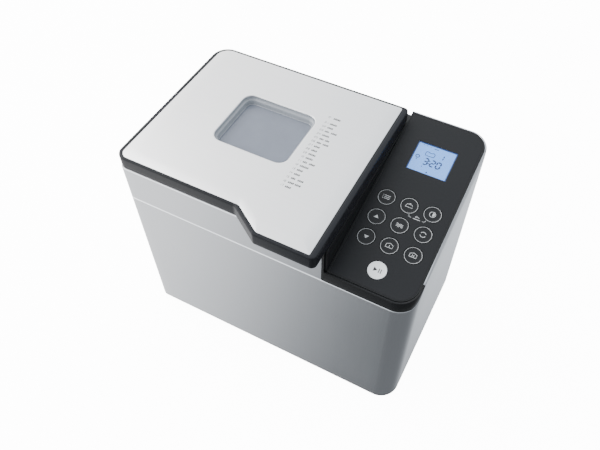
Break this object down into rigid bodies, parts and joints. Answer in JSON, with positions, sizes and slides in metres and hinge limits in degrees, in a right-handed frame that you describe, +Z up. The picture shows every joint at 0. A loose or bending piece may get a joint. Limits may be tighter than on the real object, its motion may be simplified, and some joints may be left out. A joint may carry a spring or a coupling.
{
  "type": "bread machine",
  "caption": "Countertop bread machine: silver wrapped body, hinged lid with a recessed window and grip lip, sloping key panel, lift-out pan and belt-driven kneading paddle.",
  "frame": {"origin": "centre of the whole object's footprint, on the surface it stands on", "axes": "+X to the right along the front, towards the control panel; +Y to the back, towards the lid hinge; +Z up"},
  "size_m": [0.351, 0.2496, 0.2831],
  "materials": {
    "silver_shell": "satin silver lacquer",
    "vent_grey": "fine matt",
    "black_plastic": "fine matt black",
    "fascia_black": "semi-gloss black",
    "overlay_black": "matt black film",
    "base_black": "moulded dark grey",
    "foot_rubber": "soft black rubber",
    "screw_steel": "zinc plated",
    "gland_rubber": "black rubber",
    "lens_clear": "clear window",
    "display_blue": "backlit pale blue display",
    "board_green": "solder-mask green",
    "switch_black": "black",
    "liner_steel": "galvanised sheet",
    "zinc_steel": "zinc plated",
    "element_steel": "dull heat-darkened tube",
    "ceramic_white": "glazed ceramic",
    "sensor_brass": "turned brass",
    "spring_steel": "stainless spring strip",
    "cast_alloy": "die cast",
    "bronze": "sintered bronze",
    "belt_rubber": "toothed rubber",
    "motor_steel": "plated can",
    "capacitor_cream": "moulded cream",
    "pin_steel": "ground steel",
    "rim_black": "semi-gloss charcoal",
    "plate_steel": "satin stainless",
    "window_grey": "blue-grey",
    "pane_glass": "tinted glass",
    "cover_alloy": "pressed sheet",
    "seal_silicone": "grey silicone",
    "pulley_black": "glass-filled black",
    "pan_coating": "dark non-stick coating",
    "wire_steel": "bright wire",
    "key_black": "matt black with a pale printed ring",
    "key_pale": "pale grey disc"
  },
  "bodies": {
    "base": {"housing_wrap": "silver_shell", "upper_band": "silver_shell", "side_vent": "vent_grey", "deck_frame": "black_plastic", "base_plate": "base_black", "feet": "foot_rubber", "base_screws": "screw_steel", "cord_gland": "gland_rubber", "panel_housing": "black_plastic", "front_fascia": "fascia_black", "panel_overlay": "overlay_black", "lcd_lens": "lens_clear", "lcd_module": "display_blue", "control_board": "board_green", "tact_switches": "switch_black", "chamber_liner": "liner_steel", "chamber_supports": "zinc_steel", "heating_element": "element_steel", "element_insulators": "ceramic_white", "temperature_sensor": "sensor_brass", "pan_clips": "spring_steel", "bearing_housing": "cast_alloy", "shaft_bushes": "bronze", "drive_belt": "belt_rubber", "motor_housing": "motor_steel", "motor_mount": "zinc_steel", "run_capacitor": "capacitor_cream", "power_board": "board_green", "hinge_pins": "pin_steel"},
    "lid": {"lid_rim": "rim_black", "lid_top_plate": "plate_steel", "window_frame": "window_grey", "window_outer_pane": "pane_glass", "window_inner_pane": "pane_glass", "lid_inner_cover": "cover_alloy", "lid_seal": "seal_silicone", "lid_screws": "screw_steel"},
    "drive_rotor": {"drive_shaft": "pin_steel", "large_pulley": "pulley_black", "drive_coupler": "cast_alloy"},
    "motor_rotor": {"motor_shaft": "pin_steel", "motor_pulley": "pulley_black"},
    "pan": {"bread_pan": "pan_coating", "pan_base_ring": "cast_alloy", "pan_bushing": "bronze"},
    "paddle": {"pan_shaft": "pin_steel", "pan_coupler": "cast_alloy", "kneading_paddle": "pan_coating"},
    "bail": {"pan_handle": "wire_steel"},
    "key_a1_body": {"key_a1": "key_black"},
    "key_a2_body": {"key_a2": "key_black"},
    "key_a3_body": {"key_a3": "key_black"},
    "key_b1_body": {"key_b1": "key_black"},
    "key_b2_body": {"key_b2": "key_black"},
    "key_b3_body": {"key_b3": "key_black"},
    "key_c1_body": {"key_c1": "key_black"},
    "key_c2_body": {"key_c2": "key_black"},
    "key_c3_body": {"key_c3": "key_black"},
    "key_start_body": {"key_start": "key_pale"}
  },
  "joints": [
    {"name": "lid_hinge", "type": "hinge", "parent": "base", "child": "lid", "pos_m": [-0.0475, 0.11525, 0.263], "axis": [-1, 0, 0], "range_deg": [0, 95]},
    {"name": "drive_spin", "type": "hinge", "parent": "base", "child": "drive_rotor", "pos_m": [-0.049, 0.00375, 0.04], "axis": [0, 0, 1], "continuous": true},
    {"name": "motor_spin", "type": "hinge", "parent": "base", "child": "motor_rotor", "pos_m": [0.1205, -0.04025, 0.04], "axis": [0, 0, 1], "continuous": true},
    {"name": "pan_lift", "type": "slide", "parent": "base", "child": "pan", "axis": [0, 0, 1], "range_m": [0, 0.03]},
    {"name": "paddle_spin", "type": "hinge", "parent": "pan", "child": "paddle", "pos_m": [-0.049, 0.00375, 0.08], "axis": [0, 0, 1], "continuous": true},
    {"name": "bail_swing", "type": "hinge", "parent": "pan", "child": "bail", "pos_m": [-0.049, 0.00375, 0.2165], "axis": [-1, 0, 0], "range_deg": [0, 25]},
    {"name": "key_a1_press", "type": "slide", "parent": "base", "child": "key_a1_body", "axis": [0, 0.1736, -0.9848], "range_m": [0, 0.0006], "stiffness_N_per_m": 900, "springref_m": -0.0008},
    {"name": "key_a2_press", "type": "slide", "parent": "base", "child": "key_a2_body", "axis": [0, 0.1736, -0.9848], "range_m": [0, 0.0006], "stiffness_N_per_m": 900, "springref_m": -0.0008},
    {"name": "key_a3_press", "type": "slide", "parent": "base", "child": "key_a3_body", "axis": [0, 0.1736, -0.9848], "range_m": [0, 0.0006], "stiffness_N_per_m": 900, "springref_m": -0.0008},
    {"name": "key_b1_press", "type": "slide", "parent": "base", "child": "key_b1_body", "axis": [0, 0.1736, -0.9848], "range_m": [0, 0.0006], "stiffness_N_per_m": 900, "springref_m": -0.0008},
    {"name": "key_b2_press", "type": "slide", "parent": "base", "child": "key_b2_body", "axis": [0, 0.1736, -0.9848], "range_m": [0, 0.0006], "stiffness_N_per_m": 900, "springref_m": -0.0008},
    {"name": "key_b3_press", "type": "slide", "parent": "base", "child": "key_b3_body", "axis": [0, 0.1736, -0.9848], "range_m": [0, 0.0006], "stiffness_N_per_m": 900, "springref_m": -0.0008},
    {"name": "key_c1_press", "type": "slide", "parent": "base", "child": "key_c1_body", "axis": [0, 0.1736, -0.9848], "range_m": [0, 0.0006], "stiffness_N_per_m": 900, "springref_m": -0.0008},
    {"name": "key_c2_press", "type": "slide", "parent": "base", "child": "key_c2_body", "axis": [0, 0.1736, -0.9848], "range_m": [0, 0.0006], "stiffness_N_per_m": 900, "springref_m": -0.0008},
    {"name": "key_c3_press", "type": "slide", "parent": "base", "child": "key_c3_body", "axis": [0, 0.1736, -0.9848], "range_m": [0, 0.0006], "stiffness_N_per_m": 900, "springref_m": -0.0008},
    {"name": "key_start_press", "type": "slide", "parent": "base", "child": "key_start_body", "axis": [0, 0.1736, -0.9848], "range_m": [0, 0.0006], "stiffness_N_per_m": 900, "springref_m": -0.0008}
  ],
  "couplings": [
    {"joint": "motor_spin", "follows": "drive_spin", "ratio": 5.1111},
    {"joint": "paddle_spin", "follows": "drive_spin", "ratio": 1}
  ]
}
